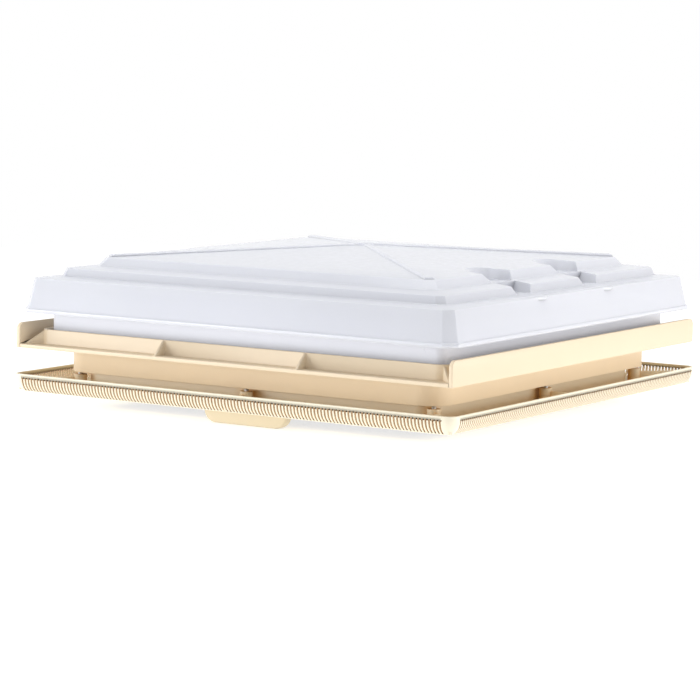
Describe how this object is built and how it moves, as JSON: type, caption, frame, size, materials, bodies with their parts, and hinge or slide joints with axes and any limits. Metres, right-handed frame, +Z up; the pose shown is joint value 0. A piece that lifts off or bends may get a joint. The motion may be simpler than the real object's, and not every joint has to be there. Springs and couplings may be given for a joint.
{
  "type": "caravan roof vent",
  "caption": "Square caravan roof vent with a lifting double-skin dome on scissor arms, slotted inner trim, pull handles and a hinged fly screen.",
  "frame": {"origin": "centre of the square roof cut-out, on the underside of the outer flange that lies on the roof", "axes": "+Z up out of the roof, +X towards one deflector board, -Y towards the fly screen's pull tab"},
  "size_m": [0.461, 0.461, 0.1492],
  "materials": {
    "frame_plastic": "satin moulded cream plastic",
    "trim_plastic": "satin moulded warm cream plastic",
    "dome_plastic": "glossy opal thermoformed plastic",
    "handle_plastic": "satin moulded cream plastic",
    "rail_metal": "anodised",
    "arm_metal": "zinc plated strip",
    "pin_metal": "plated and turned",
    "seal_rubber": "matt black extruded rubber",
    "net_fabric": "woven grey netting",
    "bead_rubber": "matt grey cord"
  },
  "bodies": {
    "frame": {"outer_frame": "frame_plastic", "dome_seal": "seal_rubber", "inner_trim": "trim_plastic", "trim_screws": "pin_metal", "screw_caps": "trim_plastic", "frame_rail_left": "rail_metal", "frame_rail_right": "rail_metal", "frame_rail_screws": "pin_metal", "frame_pivot_left": "pin_metal", "frame_pivot_right": "pin_metal", "handle_keepers": "handle_plastic", "screen_hinge_pins": "pin_metal"},
    "dome": {"dome_shell": "dome_plastic", "dome_liner": "dome_plastic", "dome_rail_left": "rail_metal", "dome_rail_right": "rail_metal", "dome_rail_screws": "pin_metal", "dome_pivot_left": "pin_metal", "dome_pivot_right": "pin_metal", "handle_bracket_front": "handle_plastic", "handle_bracket_rear": "handle_plastic", "handle_bracket_screws": "pin_metal", "handle_pin_front": "pin_metal", "handle_pin_rear": "pin_metal"},
    "fly_screen": {"flyscreen_frame": "trim_plastic", "flyscreen_net": "net_fabric", "net_bead": "bead_rubber"},
    "frame_arm_left": {"frame_arm_left": "arm_metal", "frame_arm_slider_left": "pin_metal", "scissor_rivet_left": "pin_metal"},
    "dome_arm_left": {"dome_arm_left": "arm_metal", "dome_arm_slider_left": "pin_metal"},
    "frame_arm_right": {"frame_arm_right": "arm_metal", "frame_arm_slider_right": "pin_metal", "scissor_rivet_right": "pin_metal"},
    "dome_arm_right": {"dome_arm_right": "arm_metal", "dome_arm_slider_right": "pin_metal"},
    "handle_front": {"handle_front": "handle_plastic"},
    "handle_rear": {"handle_rear": "handle_plastic"}
  },
  "joints": [
    {"name": "dome_lift", "type": "slide", "parent": "frame", "child": "dome", "axis": [0, 0, 1], "range_m": [0, 0.06]},
    {"name": "frame_arm_left_swing", "type": "hinge", "parent": "frame", "child": "frame_arm_left", "pos_m": [-0.19025, -0.12, 0.012], "axis": [1, 0, 0], "range_deg": [0, 14.62]},
    {"name": "dome_arm_left_swing", "type": "hinge", "parent": "dome", "child": "dome_arm_left", "pos_m": [-0.18715, -0.12, 0.032], "axis": [1, 0, 0], "range_deg": [-14.62, 0]},
    {"name": "frame_arm_right_swing", "type": "hinge", "parent": "frame", "child": "frame_arm_right", "pos_m": [0.19025, -0.12, 0.012], "axis": [1, 0, 0], "range_deg": [0, 14.62]},
    {"name": "dome_arm_right_swing", "type": "hinge", "parent": "dome", "child": "dome_arm_right", "pos_m": [0.18715, -0.12, 0.032], "axis": [1, 0, 0], "range_deg": [-14.62, 0]},
    {"name": "handle_front_swing", "type": "hinge", "parent": "dome", "child": "handle_front", "pos_m": [0, -0.17, 0.044], "axis": [1, 0, 0], "range_deg": [0, 25]},
    {"name": "handle_rear_swing", "type": "hinge", "parent": "dome", "child": "handle_rear", "pos_m": [0, 0.17, 0.044], "axis": [1, 0, 0], "range_deg": [-25, 0]},
    {"name": "fly_screen_swing", "type": "hinge", "parent": "frame", "child": "fly_screen", "pos_m": [0, 0.197, -0.0429], "axis": [1, 0, 0], "range_deg": [0, 90]}
  ],
  "couplings": [
    {"joint": "frame_arm_left_swing", "follows": "dome_lift", "rad_per_m": 4.2533},
    {"joint": "dome_arm_left_swing", "follows": "dome_lift", "rad_per_m": -4.2533},
    {"joint": "frame_arm_right_swing", "follows": "dome_lift", "rad_per_m": 4.2533},
    {"joint": "dome_arm_right_swing", "follows": "dome_lift", "rad_per_m": -4.2533}
  ]
}
